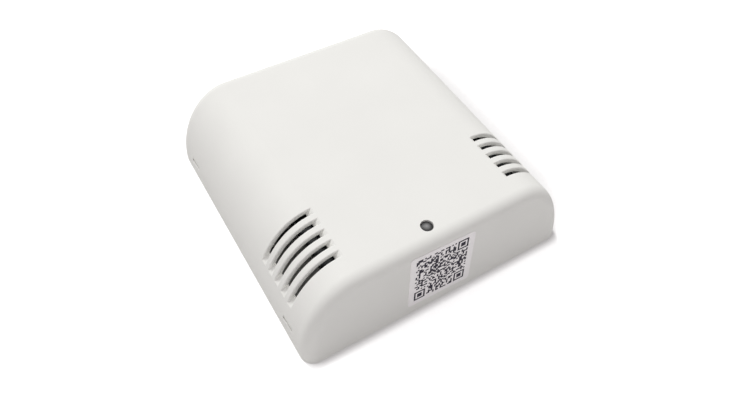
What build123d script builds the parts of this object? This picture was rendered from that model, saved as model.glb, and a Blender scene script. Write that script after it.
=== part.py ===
from build123d import *
import os
from math import atan2, cos, degrees, hypot, sin, sqrt

# Battery-powered room temperature and humidity sensor, lying on its back.
# Millimetres. X runs across the two curved flanks, -Y points to the label end,
# Z points out of the front. The origin is the centre of the back, on the wall plane.

# Cover, outside
case_width = 76.2
case_length = 76.2
case_height = 22.5
flank_run = 14.9
end_fillet = 3.2
label_end_setback = 3.0
far_end_setback = 0.4
wall = 2.0

# Vents in the flanks
vent_count = 5
vent_width = 1.52
vent_pitch = 3.3
vent_end_margin = 24.47
vent_flat_run = 0.45
vent_ramp_run = 1.4
vent_ramp_drop = 1.6
vent_ramp_bow = 0.15
vent_floor_drop = 2.1
vent_drop = 12.0
vent_bow = 0.4
vent_lip_r = 0.28
vent_wall = 1.2
vent_pocket_margin = 1.0
vent_pocket_drop = 1.4

# Light guide
light_x = -2.15
light_end_margin = 7.9
light_hole_r = 1.6
light_gap = 0.1
light_sink = 0.2
light_dome_r = 3.4
light_flange_r = 2.6
light_flange_t = 0.3
light_pipe_r = 1.2

# Code label
label_width = 18.2
label_low_margin = 2.7
label_high_margin = 2.5
label_t = 0.12
label_corner_r = 0.8
label_x = -0.9
label_turn = 2.0

# Circuit board
board_t = 1.6
board_front_gap = 1.5
board_side_gap = 0.5
board_near_gap = 0.9
board_far_gap = 1.2
board_corner_r = 1.5

# Board screws and their bosses
screw_shank_r = 1.0
screw_head_r = 1.9
screw_head_t = 1.3
screw_length = 3.6
screw_chamfer = 0.35
screw_recess_r = 0.75
screw_recess_w = 0.4
screw_recess_depth = 0.7
screw_hole_gap = 0.15
screw_pilot_gap = 0.02
screw_pilot_extra = 0.2
screw_edge = 3.2
screw_holder_gap = 1.1
near_screw_side = 9.5
boss_r = 2.3
boss_bite = 0.5

# Back plate
plate_t = 1.8
plate_gap = 0.35
plate_corner_r = 1.5
plate_frame_h = 1.4
plate_frame_t = 1.2
plate_frame_inset = 3.2
box_slot_edge = 2.2
box_slot_length = 7.0
wall_screw_r = 2.1
wall_screw_spacing = 36.0
screw_seat_depth = 0.9
screw_seat_extra = 2.0
plate_rest_gap = 0.1
rest_rib_w = 2.0
rest_rib_h = 3.6
rest_rib_depth = 1.5
rest_rib_y = 10.0
rest_rib_x = 14.0

# Snap hooks and the windows they click into
snap_end_margin = 10.0
snap_window_length = 4.6
snap_window_h = 1.25
snap_window_z = 4.3
snap_gap = 0.18
snap_stem_t = 1.1
snap_stem_gap = 0.5
snap_stem_top = 6.4
snap_nose_inset = 0.55
snap_nose_flat = 0.45

# Cells and their holder
cell_r = 5.25
cell_length = 44.5
cell_nub_r = 1.9
cell_nub_l = 0.9
cell_chamfer = 0.45
cell_gap = 0.1
cell_groove_t = 0.5
cell_groove_depth = 0.3
cell_groove_inset = 1.9
cell_web = 1.1
holder_far_gap = 0.6
holder_floor_t = 0.8
holder_side_t = 1.35
holder_end_t = 1.5
holder_depth = 8.4
holder_play = 1.8
finger_notch_w = 16.0
finger_notch_depth = 3.4

# Cell contacts
contact_t = 0.4
contact_w = 6.6
contact_h = 6.8
contact_leaf_w = 3.6
contact_touch_gap = 0.05
tail_w = 1.6
tail_gap = 0.12
tail_proud = 0.4

# Radio module, its shield and the antenna
module_w = 15.0
module_l = 16.0
module_t = 0.8
module_side_gap = 2.5
module_near_gap = 5.5
pad_r = 0.4
pad_pitch = 2.0
pad_count = 7
shield_w = 13.0
shield_l = 10.8
shield_h = 2.1
shield_skin = 0.25
shield_corner_r = 0.8
shield_shift = 1.7
shield_hole_r = 0.35
shield_hole_pitch = 3.0
antenna_near_gap = 0.25
antenna_w = 4.2
antenna_t = 0.4
antenna_feed_x = 11.0
antenna_length = 26.0
antenna_lift = 7.4
antenna_foot = 1.8
antenna_leg_shift = 5.0
antenna_leg_w = 1.6

# Microcontroller and crystal
chip_side = 7.0
chip_t = 0.9
chip_module_gap = 0.8
chip_near_gap = 14.8
chip_chamfer = 0.1
chip_dot_r = 0.35
chip_dot_inset = 1.2
chip_dot_depth = 0.1
crystal_length = 9.0
crystal_w = 4.2
crystal_t = 3.0
crystal_flange = 0.4
crystal_chip_gap = 1.2

# Buffer capacitor
capacitor_r = 4.0
capacitor_length = 10.0
capacitor_side_gap = 7.5
capacitor_near_gap = 6.7
capacitor_lift = 0.1
capacitor_edge = 0.35
capacitor_groove_w = 0.7
capacitor_groove_inset = 1.4
capacitor_lead_r = 0.3
capacitor_lead_out = 1.6
capacitor_lead_spacing = 4.0
capacitor_lead_bend = 0.9

# Programming header
header_pins_count = 5
header_pitch = 2.54
header_side = 2.5
header_side_gap = 2.0
header_near_gap = 15.7
header_pin_side = 0.64
header_pin_length = 8.4
header_pin_chamfer = 0.15
header_notch = 0.4

# Reset switch
switch_side = 6.0
switch_h = 3.4
switch_corner_r = 0.4
switch_header_gap = 1.5
switch_near_gap = 20.6
button_r = 1.7
button_gap = 0.1
button_proud = 0.9
button_inside = 1.4
button_chamfer = 0.2
button_travel = 0.25

# Parts on the front of the board
air_chip_side = 2.5
air_chip_t = 0.9
air_chip_chamfer = 0.1
air_chip_hole_r = 0.55
air_chip_hole_depth = 0.4
air_chip_inset = 0.9
air_slot_length = 7.5
air_slot_w = 1.0
air_slot_shift = 2.4
light_chip_side = 2.0
light_chip_t = 0.6
light_chip_window = 1.1
light_chip_window_depth = 0.1
lamp_length = 1.6
lamp_w = 0.8
lamp_t = 0.35
lamp_dome_r = 0.3
lamp_shift = 2.6

# Chip resistors and capacitors
passive_length = 1.6
passive_w = 0.8
passive_t = 0.45
passive_chamfer = 0.07
passive_gap = 1.0
module_row_count = 5
module_row_pitch = 2.8
chip_row_count = 3
chip_row_pitch = 2.4
vent_row_count = 4
vent_row_pitch = 2.2

# Heights and angles that follow from the sizes above
ceiling_z = case_height - wall
board_front_z = ceiling_z - board_front_gap
board_back_z = board_front_z - board_t
cell_mid_z = board_back_z - holder_floor_t - cell_gap - cell_r
inner_run = flank_run - wall
inner_half_width = case_width / 2 - wall
label_end_angle = atan2(label_end_setback, case_height)
far_end_angle = atan2(far_end_setback, case_height)


def flank_x(z, half_width, run, height):
    """Distance from the middle to a flank at height z."""
    return half_width - run + run * sqrt(1 - (z / height) ** 2)


def inner_flank_x(z):
    return flank_x(z, inner_half_width, inner_run, ceiling_z)


def outer_flank_x(z):
    return flank_x(z, case_width / 2, flank_run, case_height)


def near_end_y(z, inset=0.0):
    """Y of the leaning label end at height z, moved inwards by inset along its normal."""
    return -case_length / 2 + z * label_end_setback / case_height + inset / cos(label_end_angle)


def far_end_y(z, inset=0.0):
    return case_length / 2 - z * far_end_setback / case_height - inset / cos(far_end_angle)


# Edges of the board, the plate and the holder, which carry the pieces on them
board_half = inner_flank_x(board_front_z) - board_side_gap
board_near = near_end_y(board_front_z, wall) + board_near_gap
board_far = far_end_y(board_front_z, wall) - board_far_gap
plate_half = inner_flank_x(plate_t) - plate_gap
plate_near = near_end_y(plate_t, wall) + plate_gap
plate_far = far_end_y(plate_t, wall) - plate_gap
cell_pitch = 2 * cell_r + cell_web
holder_inner_half = (cell_length + holder_play) / 2
holder_half_length = cell_pitch / 2 + cell_r + cell_gap + holder_side_t
holder_mid_y = board_far - holder_far_gap - holder_half_length
holder_near = holder_mid_y - holder_half_length

# Places of the parts that line up with the vents and the light hole
vent_start_x = case_width / 2 - flank_run - vent_flat_run
vent_end_z = case_height - vent_drop
vent_first_y = vent_end_margin - case_length / 2
light_y = light_end_margin - case_length / 2
air_chip_x = -vent_start_x - air_chip_inset
air_chip_y = vent_first_y - (vent_count - 1) / 2 * vent_pitch
air_slot_x = air_chip_x + air_slot_shift

# Places of the parts on the back of the board
module_x = board_half - module_side_gap - module_w / 2
module_y = board_near + module_near_gap + module_l / 2
chip_x = module_x - module_w / 2 - chip_module_gap - chip_side / 2
chip_y = board_near + chip_near_gap + chip_side / 2
crystal_y = chip_y + chip_side / 2 + crystal_chip_gap + crystal_w / 2
capacitor_x = capacitor_side_gap + capacitor_length / 2 - board_half
capacitor_y = board_near + capacitor_near_gap + capacitor_r
header_x = header_side_gap + header_side / 2 - board_half
header_y = board_near + header_near_gap + header_pins_count * header_pitch / 2
switch_x = header_x + header_side / 2 + switch_header_gap + switch_side / 2
switch_y = board_near + switch_near_gap + switch_side / 2
antenna_y = board_near + antenna_near_gap + antenna_w / 2

upright = (Align.CENTER, Align.CENTER, Align.MIN)
hanging = (Align.CENTER, Align.CENTER, Align.MAX)


def box_between(low, high):
    size = [high[i] - low[i] for i in range(3)]
    middle = [(high[i] + low[i]) / 2 for i in range(3)]
    return Pos(*middle) * Box(*size)


def left_and_right(shape):
    return [shape, mirror(shape, Plane.YZ)]


def arch_body(half_width, run, height, inset, floor_z):
    """Arch profile along Y, with its two ends cut by the leaning end planes."""
    flat = half_width - run
    outline = [
        Line((flat, height), (-flat, height)),
        EllipticalCenterArc((-flat, 0), run, height, start_angle=90, arc_size=90),
        Polyline((-half_width, 0), (-half_width, floor_z), (half_width, floor_z), (half_width, 0)),
        EllipticalCenterArc((flat, 0), run, height, start_angle=0, arc_size=90),
    ]
    arch = extrude(Plane.XZ * make_face(outline), case_length, both=True)
    ends = Polyline(
        (near_end_y(floor_z, inset), floor_z),
        (near_end_y(height, inset), height),
        (far_end_y(height, inset), height),
        (far_end_y(floor_z, inset), floor_z),
        close=True,
    )
    return arch & extrude(Plane.YZ * make_face(ends), case_width, both=True)


def outer_body():
    """The cover's outside: the arch with its two end outlines rounded, down to the wall plane."""
    body = arch_body(case_width / 2, flank_run, case_height, 0, -wall)
    ends = body.faces().sort_by(Axis.Y)
    rims = [edge for face in (ends[0], ends[-1]) for edge in face.edges() if edge.center().Z > 0]
    body = fillet(rims, end_fillet)
    return body & box_between((-case_width, -case_length, 0), (case_width, case_length, case_height))


def bowed(start, end, bow):
    """Arc from start to end whose middle is pushed out to the left by bow."""
    run, rise = end[0] - start[0], end[1] - start[1]
    reach = hypot(run, rise)
    middle_x = (start[0] + end[0]) / 2 - rise / reach * bow
    middle_z = (start[1] + end[1]) / 2 + run / reach * bow
    return ThreePointArc(start, (middle_x, middle_z), end)


def vent_prism(width):
    """Upright slice over the right flank: a rounded ramp, then a slot whose floor runs out below."""
    ramp_start = (vent_start_x, case_height)
    ramp_end = (vent_start_x + vent_ramp_run, case_height - vent_ramp_drop)
    floor_start = (ramp_end[0], case_height - vent_floor_drop)
    floor_end = (outer_flank_x(vent_end_z), vent_end_z)
    clear_x, clear_z = case_width / 2 + wall, case_height + wall
    above = [(clear_x, vent_end_z), (clear_x, clear_z), (vent_start_x, clear_z)]
    outline = [
        bowed(ramp_start, ramp_end, vent_ramp_bow),
        Line(ramp_end, floor_start),
        bowed(floor_start, floor_end, vent_bow),
        Polyline(floor_end, *above, ramp_start),
    ]
    return extrude(Plane.XZ * make_face(outline), width / 2, both=True)


def vent_groove():
    """Groove along the flank's skin whose two sides round the lips of a vent."""
    half = vent_width / 2
    lip = vent_lip_r
    flat_edge = case_width / 2 - flank_run
    start_x = vent_start_x - lip
    outline = [
        Line((half, -lip), (-half, -lip)),
        CenterArc((-half - lip, -lip), lip, 0, 90),
        Polyline((-half - lip, 0), (-half - lip, lip), (half + lip, lip), (half + lip, 0)),
        CenterArc((half + lip, -lip), lip, 90, 90),
    ]
    seat = Plane(origin=(start_x, 0, case_height), x_dir=(0, 1, 0), z_dir=(1, 0, 0))
    path = Line((start_x, case_height), (flat_edge, case_height))
    path += EllipticalCenterArc((flat_edge, 0), flank_run, case_height, start_angle=90, arc_size=-80)
    return sweep(seat * make_face(outline), Plane.XZ * path)


def vent_cutter():
    """One vent: a slot to the inside with rounded lips, both run out on the same ramps."""
    return vent_prism(vent_width) + (vent_groove() & vent_prism(vent_width + 2 * vent_lip_r))


def vent_pocket():
    """Thinned wall behind the vents of the right flank, from the foot of their ramps down."""
    reach = vent_width / 2 + vent_lip_r + vent_pocket_margin
    last_y = vent_first_y - (vent_count - 1) * vent_pitch
    low = (vent_start_x + vent_ramp_run, last_y - reach, vent_end_z - vent_pocket_drop)
    high = (case_width / 2, vent_first_y + reach, case_height)
    half_width = case_width / 2 - vent_wall
    thinned = arch_body(half_width, flank_run - vent_wall, case_height - vent_wall, wall, -wall)
    return thinned & box_between(low, high)


def snap_places():
    snap_y = case_length / 2 - snap_end_margin
    return [(side, end * snap_y) for side in (1, -1) for end in (1, -1)]


def snap_window(side, y):
    half = snap_window_length / 2
    low = (inner_half_width - 2 * wall, y - half, snap_window_z)
    high = (case_width / 2 + wall, y + half, snap_window_z + snap_window_h)
    window = box_between(low, high)
    return window if side > 0 else mirror(window, Plane.YZ)


def screw_places():
    near = (board_half - near_screw_side, board_near + screw_edge - (screw_edge - boss_r) / 2)
    middle = (board_half - screw_edge, holder_near - screw_head_r - screw_holder_gap)
    return [(side * x, y) for x, y in (near, middle) for side in (1, -1)]


def rest_ribs():
    """Short ribs inside the walls that stop the back plate from pushing further in."""
    low = plate_t + plate_rest_gap
    high = low + rest_rib_h
    half_w = rest_rib_w / 2
    ribs = []
    for y in (rest_rib_y, -rest_rib_y):
        inner = inner_flank_x(low) - rest_rib_depth
        outer = inner_half_width + wall / 2
        ribs += left_and_right(box_between((inner, y - half_w, low), (outer, y + half_w, high)))
    near_low, near_high = near_end_y(low, wall / 2), near_end_y(low, wall) + rest_rib_depth
    far_low, far_high = far_end_y(low, wall) - rest_rib_depth, far_end_y(low, wall / 2)
    for x in (rest_rib_x, -rest_rib_x):
        ribs.append(box_between((x - half_w, near_low, low), (x + half_w, near_high, high)))
        ribs.append(box_between((x - half_w, far_low, low), (x + half_w, far_high, high)))
    return ribs


def front_cover():
    """Moulded shell with arched flanks, vents in both flanks, bosses, ribs and snap windows."""
    shell = outer_body() - arch_body(inner_half_width, inner_run, ceiling_z, wall, -wall)
    boss = Cylinder(boss_r, board_front_gap + boss_bite, align=upright)
    shell += [Pos(x, y, board_front_z) * boss for x, y in screw_places()]
    shell += rest_ribs()
    pilot_length = screw_length - board_t + screw_pilot_extra
    pilot = Cylinder(screw_shank_r + screw_pilot_gap, pilot_length, align=upright)
    cuts = [Pos(x, y, board_front_z) * pilot for x, y in screw_places()]
    cuts += left_and_right(vent_pocket())
    cutter = vent_cutter()
    for number in range(vent_count):
        cuts += left_and_right(Pos(0, vent_first_y - number * vent_pitch, 0) * cutter)
    cuts += [snap_window(side, y) for side, y in snap_places()]
    cuts.append(Pos(light_x, light_y, ceiling_z - wall) * Cylinder(light_hole_r, 3 * wall, align=upright))
    return shell - cuts


def light_guide():
    """Clear plug in the front: a domed window, a flange under the skin and a short light pipe."""
    crown_z = case_height - light_sink
    pipe_z = board_front_z + light_chip_t + light_gap
    flange_z = ceiling_z - light_flange_t
    guide = Pos(0, 0, ceiling_z) * Cylinder(light_hole_r - light_gap, wall, align=upright)
    guide &= Pos(0, 0, crown_z - light_dome_r) * Sphere(light_dome_r)
    guide += Pos(0, 0, flange_z) * Cylinder(light_flange_r, light_flange_t, align=upright)
    guide += Pos(0, 0, pipe_z) * Cylinder(light_pipe_r, flange_z - pipe_z, align=upright)
    return Pos(light_x, light_y, 0) * guide


def code_label():
    """Thin square sticker lying flat on the leaning label end, stuck on a little askew."""
    low_z = label_low_margin
    high_z = case_height - label_high_margin
    middle_z = (low_z + high_z) / 2
    height = (high_z - low_z) / cos(label_end_angle)
    outward = (0, -cos(label_end_angle), sin(label_end_angle))
    seat = Plane(origin=(label_x, near_end_y(middle_z), middle_z), x_dir=(1, 0, 0), z_dir=outward)
    sticker = Rot(0, 0, -label_turn) * RectangleRounded(label_width, height, label_corner_r)
    return extrude(seat * sticker, label_t)


def cell_places():
    """Cell Y, and +1 where that cell's positive end is at +X."""
    return [(holder_mid_y - cell_pitch / 2, 1), (holder_mid_y + cell_pitch / 2, -1)]


def contact_tails(grow):
    """Solder tails of the four contacts, from behind the cells up through the board."""
    x = holder_inner_half - contact_t / 2
    high = board_front_z + tail_proud + grow
    half_t = contact_t / 2 + grow
    half_w = tail_w / 2 + grow
    return {
        (y, side): box_between(
            (side * x - half_t, y - half_w, cell_mid_z), (side * x + half_t, y + half_w, high)
        )
        for y, _ in cell_places()
        for side in (1, -1)
    }


def circuit_board():
    sheet = RectangleRounded(2 * board_half, board_far - board_near, board_corner_r)
    board = extrude(Pos(0, (board_near + board_far) / 2, board_back_z) * sheet, board_t)
    hole = Cylinder(screw_shank_r + screw_hole_gap, board_t, align=upright)
    cuts = [Pos(x, y, board_back_z) * hole for x, y in screw_places()]
    slot = SlotOverall(air_slot_length, air_slot_w, rotation=90)
    cuts.append(extrude(Pos(air_slot_x, air_chip_y, board_back_z) * slot, board_t))
    cuts += contact_tails(tail_gap).values()
    return board - cuts


def board_screws():
    """Four pan-head screws that go through the board into the cover's bosses."""
    head = Cylinder(screw_head_r, screw_head_t, align=hanging)
    head = chamfer(head.edges().sort_by(Axis.Z)[0], screw_chamfer)
    cross = Box(2 * screw_recess_r, screw_recess_w, 2 * screw_recess_depth)
    cross += Box(screw_recess_w, 2 * screw_recess_r, 2 * screw_recess_depth)
    shank = Cylinder(screw_shank_r, screw_length, align=upright)
    shank = chamfer(shank.edges().sort_by(Axis.Z)[-1], screw_chamfer)
    screw = head + shank - Pos(0, 0, -screw_head_t) * cross
    return Compound(children=[Pos(x, y, board_back_z) * screw for x, y in screw_places()])


def battery_holder():
    """Tray soldered to the board, open towards the back, with a trough for each cell."""
    low = board_back_z - holder_depth
    outer_half = holder_inner_half + holder_end_t
    trough_r = cell_r + cell_gap
    tray = box_between(
        (-outer_half, holder_near, low), (outer_half, holder_near + 2 * holder_half_length, board_back_z)
    )
    cuts = list(contact_tails(tail_gap).values())
    for y, _ in cell_places():
        cuts.append(Pos(0, y, cell_mid_z) * Rot(0, 90, 0) * Cylinder(trough_r, 2 * holder_inner_half))
        mouth_low = (-holder_inner_half, y - trough_r, low - wall)
        cuts.append(box_between(mouth_low, (holder_inner_half, y + trough_r, cell_mid_z)))
    notch = Box(finger_notch_w, 3 * holder_half_length, 2 * finger_notch_depth)
    cuts.append(Pos(0, holder_mid_y, low) * notch)
    return tray - cuts


def battery_cell(y, way):
    """Cylindrical cell with a crimp groove and a positive nub, its nub towards +X if way is 1."""
    body_length = cell_length - cell_nub_l
    tube = Cylinder(cell_r, body_length, align=upright)
    tube = chamfer(tube.edges().filter_by(GeomType.CIRCLE), cell_chamfer)
    ring = Cylinder(2 * cell_r, cell_groove_t) - Cylinder(cell_r - cell_groove_depth, cell_groove_t)
    tube -= Pos(0, 0, body_length - cell_groove_inset) * ring
    tube += Pos(0, 0, body_length) * Cylinder(cell_nub_r, cell_nub_l, align=upright)
    flat_end_x = holder_inner_half - contact_t - cell_length
    cell = Pos(flat_end_x, y, cell_mid_z) * Rot(0, 90, 0) * tube
    return cell if way > 0 else mirror(cell, Plane.YZ)


def contact_plate(y):
    """Flat contact against the +X end wall of the holder, with its solder tail."""
    half_w = contact_w / 2
    half_h = contact_h / 2
    low = (holder_inner_half - contact_t, y - half_w, cell_mid_z - half_h)
    plate = box_between(low, (holder_inner_half, y + half_w, cell_mid_z + half_h))
    return plate + contact_tails(0)[(y, 1)]


def positive_contacts():
    parts = []
    for y, way in cell_places():
        plate = contact_plate(y)
        parts.append(plate if way > 0 else mirror(plate, Plane.YZ))
    return Compound(children=parts)


def negative_contacts():
    """Plate with a bowed leaf that presses on the flat end of the cell."""
    wall_x = holder_inner_half - contact_t / 2
    flat_end_x = cell_length + contact_t - holder_inner_half
    peak_x = flat_end_x + contact_touch_gap + contact_t / 2
    half = contact_h / 2 - contact_t
    bow = ThreePointArc((wall_x, cell_mid_z - half), (peak_x, cell_mid_z), (wall_x, cell_mid_z + half))
    leaf = extrude(Plane.XZ * trace(bow, contact_t), contact_leaf_w / 2, both=True)
    leaf &= box_between((0, -contact_w, 0), (holder_inner_half, contact_w, case_height))
    parts = []
    for y, way in cell_places():
        part = contact_plate(y) + Pos(0, y, 0) * leaf
        parts.append(part if way < 0 else mirror(part, Plane.YZ))
    return Compound(children=parts)


def on_board_back(shape, x, y, height):
    """Puts a shape that is centred on its own middle against the back of the board."""
    return Pos(x, y, board_back_z - height / 2) * shape


def radio_module():
    """Small second board with half-round solder pads along two edges."""
    module = Box(module_w, module_l, module_t)
    spots = GridLocations(module_w, pad_pitch, 2, pad_count)
    module -= [spot * Cylinder(pad_r, module_t) for spot in spots]
    return on_board_back(module, module_x, module_y, module_t)


def radio_shield():
    """Folded metal can with a grid of small round holes, open towards the module."""
    low = board_back_z - module_t - shield_h
    place = Pos(module_x, module_y + shield_shift, low)
    inner_w = shield_w - 2 * shield_skin
    inner_l = shield_l - 2 * shield_skin
    can = extrude(place * RectangleRounded(shield_w, shield_l, shield_corner_r), shield_h)
    hollow = place * RectangleRounded(inner_w, inner_l, shield_corner_r - shield_skin)
    can -= Pos(0, 0, shield_skin) * extrude(hollow, shield_h)
    spots = GridLocations(shield_hole_pitch, shield_hole_pitch, 4, 3)
    return can - [place * spot * Cylinder(shield_hole_r, 3 * shield_skin) for spot in spots]


def antenna():
    """Bent metal strip that stands off the board on its feed foot, with a second grounded leg."""
    mid_t = antenna_t / 2
    half_w = antenna_w / 2
    strip_z = board_back_z - antenna_lift
    path = Polyline(
        (antenna_feed_x + antenna_foot, board_back_z - mid_t),
        (antenna_feed_x, board_back_z - mid_t),
        (antenna_feed_x, strip_z),
        (antenna_feed_x - antenna_length, strip_z),
    )
    strip = Pos(0, antenna_y, 0) * extrude(Plane.XZ * trace(path, antenna_t), half_w, both=True)
    leg_x = antenna_feed_x - antenna_leg_shift
    leg_low = (leg_x - antenna_leg_w / 2, antenna_y - mid_t, strip_z)
    return strip + box_between(leg_low, (leg_x + antenna_leg_w / 2, antenna_y + mid_t, board_back_z))


def microcontroller():
    chip = Box(chip_side, chip_side, chip_t)
    chip = chamfer(chip.faces().sort_by(Axis.Z)[0].edges(), chip_chamfer)
    dot_at = chip_side / 2 - chip_dot_inset
    chip -= Pos(-dot_at, dot_at, -chip_t / 2) * Cylinder(chip_dot_r, 2 * chip_dot_depth)
    return on_board_back(chip, chip_x, chip_y, chip_t)


def crystal():
    """Metal can with rounded ends on a slightly wider base flange."""
    slot = SlotOverall(crystal_length, crystal_w)
    inner = SlotOverall(crystal_length - 2 * crystal_flange, crystal_w - 2 * crystal_flange)
    can = extrude(inner, -crystal_t)
    can = chamfer(can.faces().sort_by(Axis.Z)[0].edges(), crystal_flange)
    return Pos(chip_x, crystal_y, board_back_z) * (extrude(slot, -crystal_flange) + can)


def buffer_capacitor():
    """Lying can with a crimp groove and two leads bent down to the board."""
    end_x = capacitor_length / 2
    can = Cylinder(capacitor_r, capacitor_length)
    can = chamfer(can.edges().filter_by(GeomType.CIRCLE), capacitor_edge)
    ring = Cylinder(2 * capacitor_r, capacitor_groove_w)
    ring -= Cylinder(capacitor_r - capacitor_edge, capacitor_groove_w)
    can -= Pos(0, 0, end_x - capacitor_groove_inset) * ring
    can = Rot(0, 90, 0) * can
    rise = capacitor_r + capacitor_lift
    out_x = end_x + capacitor_lead_out
    for side in (1, -1):
        y = side * capacitor_lead_spacing / 2
        corners = [(end_x, y, 0), (out_x, y, 0), (out_x, y, rise)]
        path = FilletPolyline(*corners, radius=capacitor_lead_bend)
        can += sweep(Plane(origin=path @ 0, z_dir=path % 0) * Circle(capacitor_lead_r), path)
    return Pos(capacitor_x, capacitor_y, board_back_z - rise) * can


def header_spots():
    first_y = header_y - (header_pins_count - 1) / 2 * header_pitch
    return [(header_x, first_y + number * header_pitch) for number in range(header_pins_count)]


def header_base():
    """Plastic strip with a V notch between every two pins."""
    base = Box(header_side, header_pins_count * header_pitch, header_side)
    notch = Rot(0, 0, 45) * Box(header_notch, header_notch, header_side)
    cuts = [spot * notch for spot in GridLocations(header_side, header_pitch, 2, header_pins_count - 1)]
    hole = Box(header_pin_side, header_pin_side, header_side)
    cuts += [spot * hole for spot in GridLocations(header_side, header_pitch, 1, header_pins_count)]
    return on_board_back(base - cuts, header_x, header_y, header_side)


def header_pins():
    pin = Box(header_pin_side, header_pin_side, header_pin_length)
    pin = chamfer(pin.faces().sort_by(Axis.Z)[0].edges(), header_pin_chamfer)
    return Compound(children=[on_board_back(pin, x, y, header_pin_length) for x, y in header_spots()])


def switch_body():
    """Square tactile switch with a round well for its button."""
    body = Box(switch_side, switch_side, switch_h)
    body = fillet(body.edges().filter_by(Axis.Z), switch_corner_r)
    well_depth = button_inside + button_travel + button_gap
    body -= Pos(0, 0, -switch_h / 2) * Cylinder(button_r + button_gap, well_depth, align=upright)
    return on_board_back(body, switch_x, switch_y, switch_h)


def reset_button():
    button = Cylinder(button_r, button_inside + button_proud, align=upright)
    button = chamfer(button.edges().sort_by(Axis.Z)[0], button_chamfer)
    return Pos(switch_x, switch_y, board_back_z - switch_h - button_proud) * button


def humidity_sensor():
    """Small sensing chip on the board's edge under the left vents, with a round air opening."""
    chip = Box(air_chip_side, air_chip_side, air_chip_t)
    chip = chamfer(chip.faces().sort_by(Axis.Z)[-1].edges(), air_chip_chamfer)
    chip -= Pos(0, 0, air_chip_t / 2) * Cylinder(air_chip_hole_r, 2 * air_chip_hole_depth)
    return Pos(air_chip_x, air_chip_y, board_front_z + air_chip_t / 2) * chip


def light_sensor():
    chip = Box(light_chip_side, light_chip_side, light_chip_t)
    window = Box(light_chip_window, light_chip_window, 2 * light_chip_window_depth)
    chip -= Pos(0, 0, light_chip_t / 2) * window
    return Pos(light_x, light_y, board_front_z + light_chip_t / 2) * chip


def status_lamp():
    """Small surface lamp with a half-round lens."""
    base = Box(lamp_w, lamp_length, lamp_t, align=upright)
    lens = Sphere(lamp_dome_r) & Cylinder(2 * lamp_dome_r, 2 * lamp_dome_r, align=upright)
    return Pos(light_x + lamp_shift, light_y, board_front_z) * (base + Pos(0, 0, lamp_t) * lens)


def passive_parts():
    """Chip resistors and capacitors in short rows on both faces of the board."""
    chip = Box(passive_w, passive_length, passive_t)
    chip = chamfer(chip.edges().filter_by(Axis.X), passive_chamfer)
    reach = passive_gap + passive_length / 2
    parts = []
    for spot in GridLocations(module_row_pitch, 0, module_row_count, 1):
        parts.append(on_board_back(spot * chip, module_x, module_y + module_l / 2 + reach, passive_t))
    for spot in GridLocations(chip_row_pitch, 0, chip_row_count, 1):
        parts.append(on_board_back(spot * chip, chip_x, chip_y - chip_side / 2 - reach, passive_t))
    front_x = air_slot_x + air_slot_w / 2 + passive_gap
    for spot in GridLocations(0, vent_row_pitch, 1, vent_row_count):
        parts.append(Pos(front_x, air_chip_y, board_front_z + passive_t / 2) * spot * chip)
    return Compound(children=parts)


def plate_frame():
    """Low stiffening frame on the half of the plate that the holder leaves free."""
    half = plate_half - plate_frame_inset
    near = plate_near + plate_frame_inset
    far = -wall_screw_r - screw_seat_extra - plate_gap
    high = plate_t + plate_frame_h
    thin = plate_frame_t
    frame = box_between((-half, near, plate_t), (half, far, high))
    return frame - box_between((thin - half, near + thin, 0), (half - thin, far - thin, case_height))


def back_plate():
    """Flat wall plate with slotted box holes, round holes, sunk screw seats and a frame."""
    sheet = RectangleRounded(2 * plate_half, plate_far - plate_near, plate_corner_r)
    plate = extrude(Pos(0, (plate_near + plate_far) / 2, 0) * sheet, plate_t) + plate_frame()
    seat_r = wall_screw_r + screw_seat_extra
    slot_x = plate_half - box_slot_edge - box_slot_length / 2
    hole_y = wall_screw_spacing / 2
    slot = SlotOverall(box_slot_length, 2 * wall_screw_r)
    slot_seat = SlotOverall(box_slot_length + 2 * screw_seat_extra, 2 * seat_r)
    seat_z = plate_t - screw_seat_depth
    cuts = []
    for side in (1, -1):
        cuts.append(extrude(Pos(side * slot_x, 0, 0) * slot, plate_t))
        cuts.append(extrude(Pos(side * slot_x, 0, seat_z) * slot_seat, plate_t))
        cuts.append(extrude(Pos(0, side * hole_y, 0) * Circle(wall_screw_r), plate_t))
        cuts.append(extrude(Pos(0, side * hole_y, seat_z) * Circle(seat_r), plate_t))
    return plate - cuts


def snap_hooks():
    """Four springy tongues on the plate whose noses sit in the cover's windows."""
    low = snap_window_z + snap_gap
    high = snap_window_z + snap_window_h - snap_gap
    stem_out = inner_flank_x(snap_stem_top) - snap_stem_gap
    stem_in = stem_out - snap_stem_t
    nose_x = outer_flank_x(snap_window_z + snap_window_h) - snap_nose_inset
    outline = Polyline(
        (stem_in, plate_t),
        (stem_out, plate_t),
        (stem_out, low),
        (nose_x, low),
        (nose_x, low + snap_nose_flat),
        (inner_flank_x(high) - snap_gap, high),
        (stem_out, snap_stem_top),
        (stem_in, snap_stem_top),
        close=True,
    )
    hook = extrude(Plane.XZ * make_face(outline), snap_window_length / 2 - snap_gap, both=True)
    hooks = []
    for side, y in snap_places():
        placed = Pos(0, y, 0) * hook
        hooks.append(placed if side > 0 else mirror(placed, Plane.YZ))
    return Compound(children=hooks)


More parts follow.
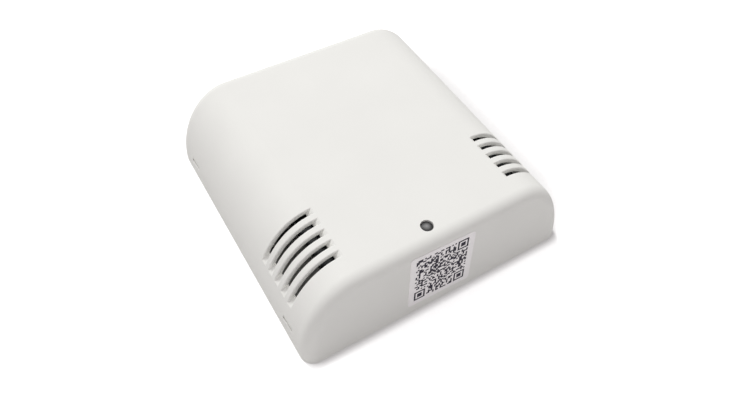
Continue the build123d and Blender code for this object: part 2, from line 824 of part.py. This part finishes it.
def nodes():
    """Every separate piece under its node name."""
    (first_y, first_way), (second_y, second_way) = cell_places()
    return {
        "back_plate": back_plate(),
        "snap_hooks": snap_hooks(),
        "front_cover": front_cover(),
        "light_guide": light_guide(),
        "code_label": code_label(),
        "circuit_board": circuit_board(),
        "board_screws": board_screws(),
        "battery_holder": battery_holder(),
        "battery_cell_1": battery_cell(first_y, first_way),
        "battery_cell_2": battery_cell(second_y, second_way),
        "positive_contacts": positive_contacts(),
        "negative_contacts": negative_contacts(),
        "radio_module": radio_module(),
        "radio_shield": radio_shield(),
        "antenna": antenna(),
        "microcontroller": microcontroller(),
        "crystal": crystal(),
        "buffer_capacitor": buffer_capacitor(),
        "header_base": header_base(),
        "header_pins": header_pins(),
        "switch_body": switch_body(),
        "reset_button": reset_button(),
        "humidity_sensor": humidity_sensor(),
        "light_sensor": light_sensor(),
        "status_lamp": status_lamp(),
        "passive_parts": passive_parts(),
    }


os.makedirs("parts", exist_ok=True)
for name, solid in nodes().items():
    export_step(solid, f"parts/{name}.step")
print("label end leans", round(degrees(label_end_angle), 2), "degrees")
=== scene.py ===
import math

import bmesh
import bpy
from mathutils import Matrix, Vector

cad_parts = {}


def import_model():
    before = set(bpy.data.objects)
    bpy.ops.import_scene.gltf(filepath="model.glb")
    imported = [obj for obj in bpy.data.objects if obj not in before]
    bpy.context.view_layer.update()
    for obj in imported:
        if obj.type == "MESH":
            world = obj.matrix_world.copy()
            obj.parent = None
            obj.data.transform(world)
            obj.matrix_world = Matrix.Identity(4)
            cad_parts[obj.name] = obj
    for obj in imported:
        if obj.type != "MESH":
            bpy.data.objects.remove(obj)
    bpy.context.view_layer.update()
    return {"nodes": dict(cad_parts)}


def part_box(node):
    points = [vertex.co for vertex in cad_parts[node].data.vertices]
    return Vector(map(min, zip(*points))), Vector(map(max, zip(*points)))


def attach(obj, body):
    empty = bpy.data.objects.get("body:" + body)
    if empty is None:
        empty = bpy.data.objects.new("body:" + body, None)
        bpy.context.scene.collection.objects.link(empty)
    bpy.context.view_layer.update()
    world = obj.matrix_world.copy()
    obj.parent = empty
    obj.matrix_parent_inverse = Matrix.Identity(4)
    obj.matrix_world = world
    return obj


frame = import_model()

MM = 0.001

# Camera, as fitted to the photograph
PHOTO_WIDTH = 733
FOCAL_PX = 641.854
SENSOR_MM = 36.0
CAMERA_PLACE = Vector((-61.123, -93.008, 141.950)) * MM
CAMERA_AZIMUTH = math.radians(-33.753)
CAMERA_ELEVATION = math.radians(52.624)
CAMERA_ROLL = math.radians(3.529)
CLIP_START = 0.01
CLIP_END = 10.0

# Housing sizes that the printed code and the window's painted shading follow
CASE_HEIGHT = 22.5 * MM
LABEL_END_LEAN = 3.0 * MM
WINDOW_RADIUS = 1.6 * MM

# Printed code: a made-up pattern with three corner marks
CODE_MODULES = 33
CODE_SIDE = 14.8 * MM
CODE_MIDDLE_X = -1.0 * MM
CODE_MIDDLE_Z = 11.55 * MM
LABEL_TURN = math.radians(2.0)
INK_HEIGHT = 0.012 * MM
CORNER_MARK = 7
CODE_SEED = 1546.0
COLUMN_STEP = 12.9898
ROW_STEP = 78.233
HASH_SCALE = 43758.5453

# Depths of the surface marks, and noise scales in cycles per metre
GRAIN_DEPTH = 0.012 * MM
SCRATCH_DEPTH = 0.01 * MM
TRACE_DEPTH = 0.02 * MM
FLOW_SCALE = 60
SCUFF_SCALE = 1800
CHIP_SCALE = 20000
SMOKE_SCALE = 900
WEAVE_SCALE = 2500
FILM_SCALE = 2600
INK_SCALE = 5200

# Colours of a cell, and where its bands start along it, from its negative to its positive end
SLEEVE = (0.035, 0.040, 0.060)
SLEEVE_RING = (0.50, 0.50, 0.48)
BARE_END = (0.62, 0.61, 0.58)
CELL_BANDS = [(0.0, BARE_END), (0.012, SLEEVE), (0.80, SLEEVE_RING), (0.825, SLEEVE), (0.955, BARE_END)]
CELL_PLATING = [(0.0, (1, 1, 1)), (0.012, (0, 0, 0)), (0.955, (1, 1, 1))]

# Circuit board: runs and holes per metre, the width of a run, and the rings of a tinned hole
RUN_SCALE = 260
RUN_WIDTH = 0.03
# Mask colours are near-black: a black solder mask, made extra dark as painted shade for the housing's
# inside
MASK_AND_PAINTED_SHADE = (0.008, 0.009, 0.010)
OTHER_MASK_AND_PAINTED_SHADE = (0.010, 0.011, 0.012)
RUN = (0.022, 0.024, 0.026)
TIN = (0.55, 0.54, 0.50)
HOLE_SCALE = 330
HOLE_RINGS = [(0.0, (0, 0, 0)), (0.045, (1, 1, 1)), (0.09, (0, 0, 0))]

# Tan capacitors, black resistors and sand capacitors, by their share of the chip parts
CHIP_KINDS = [(0.0, (0.34, 0.23, 0.14)), (0.55, (0.025, 0.025, 0.028)), (0.85, (0.42, 0.33, 0.24))]

# Grey of the smoked window from its middle to its rim, with a painted highlight in the middle and
# painted shade towards the rim
WINDOW_SMOKE_AND_PAINTED_SHADING = [
    (0.0, (0.31, 0.31, 0.31)),
    (0.15, (0.235, 0.235, 0.235)),
    (0.43, (0.145, 0.145, 0.145)),
    (0.6, (0.065, 0.065, 0.065)),
    (1.0, (0.025, 0.025, 0.025)),
]

# Floor
FLOOR_RADIUS = 3.0
FLOOR_SIDES = 64
FLOOR_HEIGHT = 0.03 * MM
FLOOR_COLOUR = (0.80, 0.795, 0.795)
FLOOR_LIFT = (0.72, 0.72, 0.72)
OPENNESS_SAMPLES = 16

# Soft shadows in the floor's lift: direction towards the part, reach, openness where the shadow
# is darkest and where it starts
FRONT_SHADOW = ((-0.5, 0.8, 0.5), 2.5 * MM, 0.40, 0.92)
RIGHT_SHADOW = ((-1.0, -0.8, 0.3), 20.0 * MM, 0.65, 1.0)

# World and lamp
BRIGHT_SIDE = (-0.27, -0.35, 0.87)
DIM_SIDE_COLOUR = (0.06, 0.055, 0.058)
BRIGHT_SIDE_COLOUR = (0.67, 0.65, 0.655)
BELOW_COLOUR = (0.85, 0.85, 0.85)
KEY_PLACE = (0.0, 1.9, 2.4)
KEY_SIZE = 0.9
KEY_POWER = 56.0
KEY_COLOUR = (0.99, 1.0, 0.99)


def add_node(tree, kind, values=None, **settings):
    """A shader node with its settings and the fixed values of its inputs."""
    node = tree.nodes.new(kind)
    for key, value in settings.items():
        setattr(node, key, value)
    for socket, value in (values or {}).items():
        node.inputs[socket].default_value = value
    return node


def feed(tree, node, socket, source):
    """Give an input either a fixed value or what another node puts out."""
    if isinstance(source, bpy.types.NodeSocket):
        tree.links.new(source, node.inputs[socket])
    elif isinstance(source, tuple):
        node.inputs[socket].default_value = (*source, 1)
    else:
        node.inputs[socket].default_value = source


def new_material(name, specular=None):
    """A node material whose principled shader is set by paint()."""
    material = bpy.data.materials.new(name)
    material.use_nodes = True
    tree = material.node_tree
    tree.nodes.clear()
    output = add_node(tree, "ShaderNodeOutputMaterial")
    shader = add_node(tree, "ShaderNodeBsdfPrincipled")
    if specular is not None:
        shader.inputs["Specular IOR Level"].default_value = specular
    tree.links.new(shader.outputs["BSDF"], output.inputs["Surface"])
    return material, tree, shader


def paint(tree, shader, colour, roughness, metallic=0.0):
    feed(tree, shader, "Base Color", colour)
    feed(tree, shader, "Roughness", roughness)
    feed(tree, shader, "Metallic", metallic)


def part_place(tree):
    """The shaded point in the part's own frame."""
    return add_node(tree, "ShaderNodeTexCoord").outputs["Object"]


def object_noise(tree, scale, detail, roughness=0.5, stretch=(1, 1, 1)):
    """Noise in the part's own frame, in cycles per metre."""
    mapping = add_node(tree, "ShaderNodeMapping", {"Scale": stretch})
    values = {"Scale": scale, "Detail": detail, "Roughness": roughness}
    noise = add_node(tree, "ShaderNodeTexNoise", values)
    tree.links.new(part_place(tree), mapping.inputs["Vector"])
    tree.links.new(mapping.outputs["Vector"], noise.inputs["Vector"])
    return noise.outputs["Fac"]


def ramp(tree, factor, stops, stepped=False):
    """Colour ramp through (position, colour) stops, smooth or in steps."""
    node = add_node(tree, "ShaderNodeValToRGB")
    if stepped:
        node.color_ramp.interpolation = "CONSTANT"
    elements = node.color_ramp.elements
    while len(elements) < len(stops):
        elements.new(0.5)
    for element, (position, colour) in zip(elements, stops):
        element.position = position
        element.color = (*colour, 1)
    tree.links.new(factor, node.inputs["Fac"])
    return node.outputs["Color"]


def to_range(tree, factor, low=0.0, high=1.0, start=0.0, end=1.0):
    """A value that runs from low to high while the factor runs from start to end."""
    values = {"From Min": start, "From Max": end, "To Min": low, "To Max": high}
    node = add_node(tree, "ShaderNodeMapRange", values)
    tree.links.new(factor, node.inputs["Value"])
    return node.outputs["Result"]


def calculate(tree, operation, first, second):
    node = add_node(tree, "ShaderNodeMath", operation=operation)
    feed(tree, node, 0, first)
    feed(tree, node, 1, second)
    return node.outputs[0]


def mix_colours(tree, factor, first, second):
    node = add_node(tree, "ShaderNodeMix", data_type="RGBA")
    tree.links.new(factor, node.inputs["Factor"])
    feed(tree, node, "A", first)
    feed(tree, node, "B", second)
    return node.outputs["Result"]


def mix_shaders(tree, factor, first, second):
    node = add_node(tree, "ShaderNodeMixShader")
    tree.links.new(factor, node.inputs["Fac"])
    tree.links.new(first, node.inputs[1])
    tree.links.new(second, node.inputs[2])
    return node.outputs[0]


def bump(tree, shader, height, strength, distance):
    node = add_node(tree, "ShaderNodeBump", {"Strength": strength, "Distance": distance})
    tree.links.new(height, node.inputs["Height"])
    tree.links.new(node.outputs["Normal"], shader.inputs["Normal"])


def shade(colour, factor):
    return tuple(channel * factor for channel in colour)


def moulded_plastic(name, colour, roughness, mottle=0.015, grain=9000, specular=0.4):
    """Injection-moulded plastic: a fine spark-eroded grain and faint flow mottling."""
    material, tree, shader = new_material(name, specular)
    flow = object_noise(tree, FLOW_SCALE, detail=4.0)
    stops = [(0.3, shade(colour, 1 - mottle)), (0.7, shade(colour, 1 + mottle / 2))]
    fine = object_noise(tree, grain, detail=2.0, roughness=0.6)
    dullness = to_range(tree, fine, roughness - 0.06, roughness + 0.06)
    paint(tree, shader, ramp(tree, flow, stops), dullness)
    bump(tree, shader, fine, 0.35, GRAIN_DEPTH)
    return material


def metal(name, colour, roughness=0.28, brush=(1, 1, 1), scale=1500):
    """Plated or bare metal with fine rolling marks."""
    material, tree, shader = new_material(name)
    marks = object_noise(tree, scale, detail=5.0, stretch=brush)
    stops = [(0.25, shade(colour, 0.86)), (0.75, colour)]
    dullness = to_range(tree, marks, roughness - 0.08, roughness + 0.1)
    paint(tree, shader, ramp(tree, marks, stops), dullness, metallic=1.0)
    bump(tree, shader, marks, 0.2, SCRATCH_DEPTH)
    return material


def cell_sleeve(name, node, way):
    """Dark sleeve with a pale ring towards the positive end, between bare plated ends."""
    material, tree, shader = new_material(name)
    low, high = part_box(node)
    start, end = (low.x, high.x) if way > 0 else (high.x, low.x)
    axes = add_node(tree, "ShaderNodeSeparateXYZ")
    tree.links.new(part_place(tree), axes.inputs["Vector"])
    along = to_range(tree, axes.outputs["X"], start=start, end=end)
    colours = ramp(tree, along, CELL_BANDS, stepped=True)
    plated = ramp(tree, along, CELL_PLATING, stepped=True)
    scuffs = object_noise(tree, SCUFF_SCALE, detail=5.0, stretch=(1, 8, 8))
    paint(tree, shader, colours, to_range(tree, scuffs, 0.22, 0.42), plated)
    bump(tree, shader, scuffs, 0.15, SCRATCH_DEPTH)
    return material


def chip_parts(name):
    """Small chip parts: tan capacitors and black resistors, one colour for each solid."""
    material, tree, shader = new_material(name)
    solid = add_node(tree, "ShaderNodeNewGeometry")
    colours = ramp(tree, solid.outputs["Random Per Island"], CHIP_KINDS, stepped=True)
    grain = object_noise(tree, CHIP_SCALE, detail=2.0)
    paint(tree, shader, colours, to_range(tree, grain, 0.4, 0.55))
    bump(tree, shader, grain, 0.3, GRAIN_DEPTH)
    return material


def smoked_window_painted_shading(name):
    """Smoked plastic with a painted highlight, paler in the middle, and painted shade, darker at its
    rim.
    """
    material, tree, shader = new_material(name, specular=0.2)
    low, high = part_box("light_guide")
    middle = ((low.x + high.x) / 2, (low.y + high.y) / 2, 0)
    flat = add_node(tree, "ShaderNodeVectorMath", {1: (1, 1, 0)}, operation="MULTIPLY")
    reach = add_node(tree, "ShaderNodeVectorMath", {1: middle}, operation="DISTANCE")
    tree.links.new(part_place(tree), flat.inputs[0])
    tree.links.new(flat.outputs["Vector"], reach.inputs[0])
    # Painted highlight and shade: paler in the middle and darker towards the rim, by distance from the
    # middle
    share = to_range(tree, reach.outputs["Value"], end=WINDOW_RADIUS)
    cloud = object_noise(tree, SMOKE_SCALE, detail=2.0)
    paint(tree, shader, ramp(tree, share, WINDOW_SMOKE_AND_PAINTED_SHADING), to_range(tree, cloud, 0.40, 0.50))
    return material


def circuit_board_finish(name):
    """Black solder mask over faint copper runs, with tinned through holes. The mask is darker than a
    real one, as painted shade for the inside seen through the vents.
    """
    material, tree, shader = new_material(name, specular=0.2)
    runs = add_node(tree, "ShaderNodeTexBrick", {"Scale": RUN_SCALE, "Mortar Size": RUN_WIDTH})
    for socket, colour in (("Color1", MASK_AND_PAINTED_SHADE), ("Color2", OTHER_MASK_AND_PAINTED_SHADE), ("Mortar", RUN)):
        feed(tree, runs, socket, colour)
    holes = add_node(tree, "ShaderNodeTexVoronoi", {"Scale": HOLE_SCALE})
    place = part_place(tree)
    tree.links.new(place, runs.inputs["Vector"])
    tree.links.new(place, holes.inputs["Vector"])
    tinned = ramp(tree, holes.outputs["Distance"], HOLE_RINGS, stepped=True)
    colours = mix_colours(tree, tinned, runs.outputs["Color"], TIN)
    weave = object_noise(tree, WEAVE_SCALE, detail=2.0)
    paint(tree, shader, colours, to_range(tree, weave, 0.28, 0.42), tinned)
    bump(tree, shader, runs.outputs["Fac"], 0.25, TRACE_DEPTH)
    return material


def label_film(name):
    """Matt white printed film, slightly pink like the photographed label."""
    material, tree, shader = new_material(name)
    fibre = object_noise(tree, FILM_SCALE, detail=4.0)
    stops = [(0.3, (0.92, 0.895, 0.90)), (0.7, (0.96, 0.935, 0.94))]
    paint(tree, shader, ramp(tree, fibre, stops), to_range(tree, fibre, 0.5, 0.62))
    bump(tree, shader, fibre, 0.15, SCRATCH_DEPTH)
    return material


def printing_ink(name):
    """Thin black print with a faint violet cast."""
    material, tree, shader = new_material(name, specular=0.15)
    grain = object_noise(tree, INK_SCALE, detail=3.0)
    stops = [(0.3, (0.008, 0.006, 0.014)), (0.75, (0.020, 0.015, 0.032))]
    paint(tree, shader, ramp(tree, grain, stops), to_range(tree, grain, 0.5, 0.62))
    return material


def paint_nodes():
    """Each CAD node gets its own procedural finish."""
    white = moulded_plastic("housing_white", (0.85, 0.85, 0.82), 0.7, specular=0.01)
    black = moulded_plastic("black_moulding", (0.025, 0.025, 0.027), 0.5, mottle=0.2)
    chip = moulded_plastic("chip_epoxy", (0.022, 0.022, 0.025), 0.55, mottle=0.2, grain=16000)
    grey = moulded_plastic("button_grey", (0.32, 0.32, 0.33), 0.5, mottle=0.05)
    clear = moulded_plastic("lamp_epoxy", (0.74, 0.74, 0.62), 0.2, mottle=0.05)
    steel = metal("nickel_plate", (0.62, 0.61, 0.58))
    can = metal("aluminium_can", (0.72, 0.73, 0.74), 0.34, brush=(1, 12, 12), scale=700)
    gilt = metal("gold_flash", (0.80, 0.60, 0.28), 0.25)
    board = circuit_board_finish("solder_mask_and_painted_shade")
    finishes = {
        "front_cover": white,
        "back_plate": white,
        "snap_hooks": white,
        "light_guide": smoked_window_painted_shading("smoked_window_painted_shading"),
        "code_label": label_film("label_film"),
        "circuit_board": board,
        "radio_module": board,
        "board_screws": steel,
        "positive_contacts": steel,
        "negative_contacts": steel,
        "radio_shield": steel,
        "crystal": steel,
        "antenna": gilt,
        "header_pins": gilt,
        "buffer_capacitor": can,
        "battery_holder": black,
        "header_base": black,
        "switch_body": black,
        "battery_cell_1": cell_sleeve("cell_sleeve_1", "battery_cell_1", 1),
        "battery_cell_2": cell_sleeve("cell_sleeve_2", "battery_cell_2", -1),
        "reset_button": grey,
        "microcontroller": chip,
        "humidity_sensor": chip,
        "light_sensor": clear,
        "status_lamp": clear,
        "passive_parts": chip_parts("passive_ceramic"),
    }
    for name, material in finishes.items():
        for material_slot in frame["nodes"][name].material_slots:
            material_slot.material = material


def dark_module(column, row):
    """True where the made-up code is dark. It follows a hash and encodes nothing."""
    far = CODE_MODULES - CORNER_MARK
    middle = CORNER_MARK // 2
    for mark_column, mark_row in ((0, 0), (far, 0), (far, far)):
        across = column - mark_column
        up = row - mark_row
        if -1 <= across <= CORNER_MARK and -1 <= up <= CORNER_MARK:
            ring = max(abs(across - middle), abs(up - middle))
            return ring in (0, 1, middle)
    wave = math.sin(column * COLUMN_STEP + row * ROW_STEP + CODE_SEED) * HASH_SCALE
    return wave - math.floor(wave) < 0.5


def add_box(mesh, low, high, place):
    """A closed thin box between two corners, set into the mesh through a placing matrix."""
    corners = [
        mesh.verts.new(place @ Vector((x, y, z)))
        for z in (low[2], high[2])
        for y in (low[1], high[1])
        for x in (low[0], high[0])
    ]
    for face in ((0, 2, 3, 1), (4, 5, 7, 6), (0, 1, 5, 4), (2, 6, 7, 3), (0, 4, 6, 2), (1, 3, 7, 5)):
        mesh.faces.new([corners[index] for index in face])


def new_object(name, mesh, material):
    """An object in the scene from a bmesh, which is freed."""
    data = bpy.data.meshes.new(name)
    mesh.to_mesh(data)
    mesh.free()
    data.materials.append(material)
    made = bpy.data.objects.new(name, data)
    bpy.context.scene.collection.objects.link(made)
    return made


def code_place():
    """Matrix at the middle of the code: X along it, Y up the leaning face and Z out of the film."""
    lean = math.atan2(LABEL_END_LEAN, CASE_HEIGHT)
    across = Vector((1, 0, 0))
    up = Vector((0, math.sin(lean), math.cos(lean)))
    out = Vector((0, -math.cos(lean), math.sin(lean)))
    stand = Matrix((across, up, out)).transposed().to_4x4()
    film_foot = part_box("code_label")[0]
    film_y = film_foot.y + (CODE_MIDDLE_Z - film_foot.z) * math.tan(lean)
    middle = Vector((CODE_MIDDLE_X, film_y, CODE_MIDDLE_Z))
    return Matrix.Translation(middle) @ stand @ Matrix.Rotation(-LABEL_TURN, 4, "Z")


def printed_code():
    """Dark modules of the code, joined into runs, as ink that stands a little above the film."""
    module = CODE_SIDE / CODE_MODULES
    half = CODE_SIDE / 2
    place = code_place()
    mesh = bmesh.new()
    for row in range(CODE_MODULES):
        column = 0
        while column < CODE_MODULES:
            if not dark_module(column, row):
                column += 1
                continue
            start = column
            while column < CODE_MODULES and dark_module(column, row):
                column += 1
            low_corner = (start * module - half, row * module - half, -INK_HEIGHT)
            high_corner = (column * module - half, (row + 1) * module - half, INK_HEIGHT)
            add_box(mesh, low_corner, high_corner, place)
    piece = new_object("code_print", mesh, printing_ink("code_ink"))
    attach(piece, "sensor_unit")


def camera():
    """Camera at the photograph's viewing angle and framing."""
    level = math.cos(CAMERA_ELEVATION)
    right = Vector((math.cos(CAMERA_AZIMUTH), math.sin(CAMERA_AZIMUTH), 0))
    back = Vector(
        (
            math.sin(CAMERA_AZIMUTH) * level,
            -math.cos(CAMERA_AZIMUTH) * level,
            math.sin(CAMERA_ELEVATION),
        )
    )
    up = back.cross(right)
    rolled_right = right * math.cos(CAMERA_ROLL) + up * math.sin(CAMERA_ROLL)
    rolled_up = up * math.cos(CAMERA_ROLL) - right * math.sin(CAMERA_ROLL)
    turn = Matrix((rolled_right, rolled_up, back)).transposed().to_4x4()
    data = bpy.data.cameras.new("camera")
    data.sensor_width = SENSOR_MM
    data.lens = FOCAL_PX * SENSOR_MM / PHOTO_WIDTH
    data.clip_start = CLIP_START
    data.clip_end = CLIP_END
    eye = bpy.data.objects.new("camera", data)
    eye.matrix_world = Matrix.Translation(CAMERA_PLACE) @ turn
    bpy.context.scene.collection.objects.link(eye)
    bpy.context.scene.camera = eye


def key_light():
    """Round soft lamp behind and above, aimed at the middle of the part."""
    data = bpy.data.lights.new("key", "AREA")
    data.shape = "DISK"
    data.size = KEY_SIZE
    data.energy = KEY_POWER
    data.color = KEY_COLOUR
    lamp = bpy.data.objects.new("key", data)
    lamp.location = KEY_PLACE
    lamp.rotation_euler = Vector(KEY_PLACE).to_track_quat("Z", "Y").to_euler()
    bpy.context.scene.collection.objects.link(lamp)


def seen_directly(tree):
    """1 for camera, glossy and transmission rays, 0 for the rays that light the part."""
    path = add_node(tree, "ShaderNodeLightPath")
    seen = path.outputs["Is Camera Ray"]
    for ray in ("Is Glossy Ray", "Is Transmission Ray"):
        seen = calculate(tree, "MAXIMUM", seen, path.outputs[ray])
    return seen


def shadow_share(tree, toward, reach, darkest, starts):
    """Share of the floor's lift that stays where the part stands on one side of it."""
    direction = add_node(tree, "ShaderNodeCombineXYZ", dict(zip("XYZ", toward)))
    openness = add_node(
        tree, "ShaderNodeAmbientOcclusion", {"Distance": reach}, samples=OPENNESS_SAMPLES
    )
    tree.links.new(direction.outputs["Vector"], openness.inputs["Normal"])
    return to_range(tree, openness.outputs["AO"], start=darkest, end=starts)


def floor_white(name):
    """Pale floor, lifted to white where it is seen, that keeps a shadow. From below it is clear."""
    material = bpy.data.materials.new(name)
    material.use_nodes = True
    tree = material.node_tree
    tree.nodes.clear()
    output = add_node(tree, "ShaderNodeOutputMaterial")
    lit = add_node(tree, "ShaderNodeBsdfDiffuse", {"Color": (*FLOOR_COLOUR, 1)})
    lift = add_node(tree, "ShaderNodeEmission", {"Color": (*FLOOR_LIFT, 1)})
    strength = seen_directly(tree)
    for shadow in (FRONT_SHADOW, RIGHT_SHADOW):
        strength = calculate(tree, "MULTIPLY", strength, shadow_share(tree, *shadow))
    tree.links.new(strength, lift.inputs["Strength"])
    both = add_node(tree, "ShaderNodeAddShader")
    tree.links.new(lit.outputs[0], both.inputs[0])
    tree.links.new(lift.outputs[0], both.inputs[1])
    from_below = add_node(tree, "ShaderNodeNewGeometry").outputs["Backfacing"]
    clear = add_node(tree, "ShaderNodeBsdfTransparent").outputs[0]
    surface = mix_shaders(tree, from_below, both.outputs[0], clear)
    tree.links.new(surface, output.inputs["Surface"])
    return material


def floor():
    """Large floor, a hair above the wall plane, so that the part's back is lit from below."""
    mesh = bmesh.new()
    raised = Matrix.Translation((0, 0, FLOOR_HEIGHT))
    bmesh.ops.create_circle(
        mesh, cap_ends=True, segments=FLOOR_SIDES, radius=FLOOR_RADIUS, matrix=raised
    )
    ground = new_object("floor", mesh, floor_white("floor_white"))


def world():
    """Soft surround, brighter on one side and below the floor, which is seen as plain white."""
    surround = bpy.data.worlds.new("studio")
    surround.use_nodes = True
    tree = surround.node_tree
    tree.nodes.clear()
    output = add_node(tree, "ShaderNodeOutputWorld")
    place = add_node(tree, "ShaderNodeTexCoord").outputs["Generated"]
    bright_side = {1: Vector(BRIGHT_SIDE).normalized()}
    facing = add_node(tree, "ShaderNodeVectorMath", bright_side, operation="DOT_PRODUCT")
    tree.links.new(place, facing.inputs[0])
    level = to_range(tree, facing.outputs["Value"], start=-1.0)
    tint = mix_colours(tree, level, DIM_SIDE_COLOUR, BRIGHT_SIDE_COLOUR)
    axes = add_node(tree, "ShaderNodeSeparateXYZ")
    tree.links.new(place, axes.inputs["Vector"])
    below = calculate(tree, "LESS_THAN", axes.outputs["Z"], 0.0)
    colour = mix_colours(tree, below, tint, BELOW_COLOUR)
    soft = add_node(tree, "ShaderNodeBackground")
    tree.links.new(colour, soft.inputs["Color"])
    white = add_node(tree, "ShaderNodeBackground", {"Color": (1, 1, 1, 1)})
    surface = mix_shaders(tree, seen_directly(tree), soft.outputs[0], white.outputs[0])
    tree.links.new(surface, output.inputs["Surface"])
    bpy.context.scene.world = surround


paint_nodes()
printed_code()
camera()
world()
floor()
key_light()
bpy.context.scene.view_settings.view_transform = "Standard"
